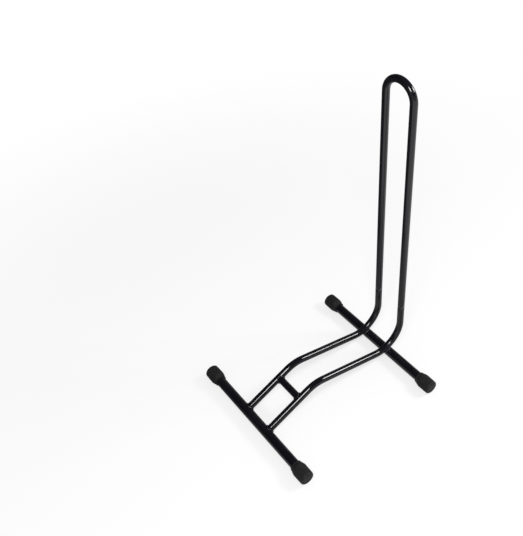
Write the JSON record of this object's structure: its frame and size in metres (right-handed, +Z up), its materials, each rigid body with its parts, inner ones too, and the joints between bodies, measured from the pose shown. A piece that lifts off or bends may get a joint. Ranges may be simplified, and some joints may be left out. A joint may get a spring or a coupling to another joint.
{
  "type": "floor bike rack",
  "caption": "Low floor stand of bent black steel tube: rails on capped cross tubes and a tall lift-off hoop that hold one wheel upright.",
  "frame": {"origin": "on the floor, under the middle of the rack's length and width", "axes": "+Z up; +X from the low front end, where the wheel rolls in, to the tall hoop; -Y is the side called left"},
  "size_m": [0.4171, 0.365, 0.7216],
  "materials": {
    "frame_paint": "gloss black",
    "weld_paint": "gloss black over weld beads",
    "cap_plastic": "satin black moulded plastic",
    "bare_steel": "bare drawn tube"
  },
  "bodies": {
    "base": {"front_cross_tube": "frame_paint", "rear_cross_tube": "frame_paint", "crossbar": "frame_paint", "left_rail": "frame_paint", "left_spigot": "bare_steel", "front_left_cap": "cap_plastic", "rear_left_cap": "cap_plastic", "right_rail": "frame_paint", "right_spigot": "bare_steel", "front_right_cap": "cap_plastic", "rear_right_cap": "cap_plastic", "weld_front_left": "weld_paint", "weld_crossbar_left": "weld_paint", "weld_rear_left_inner": "weld_paint", "weld_rear_left_outer": "weld_paint", "weld_front_right": "weld_paint", "weld_crossbar_right": "weld_paint", "weld_rear_right_inner": "weld_paint", "weld_rear_right_outer": "weld_paint"},
    "hoop": {"hoop": "frame_paint"}
  },
  "joints": [
    {"name": "hoop_lift", "type": "slide", "parent": "base", "child": "hoop", "axis": [0, 0, 1], "range_m": [0, 0.055]}
  ]
}
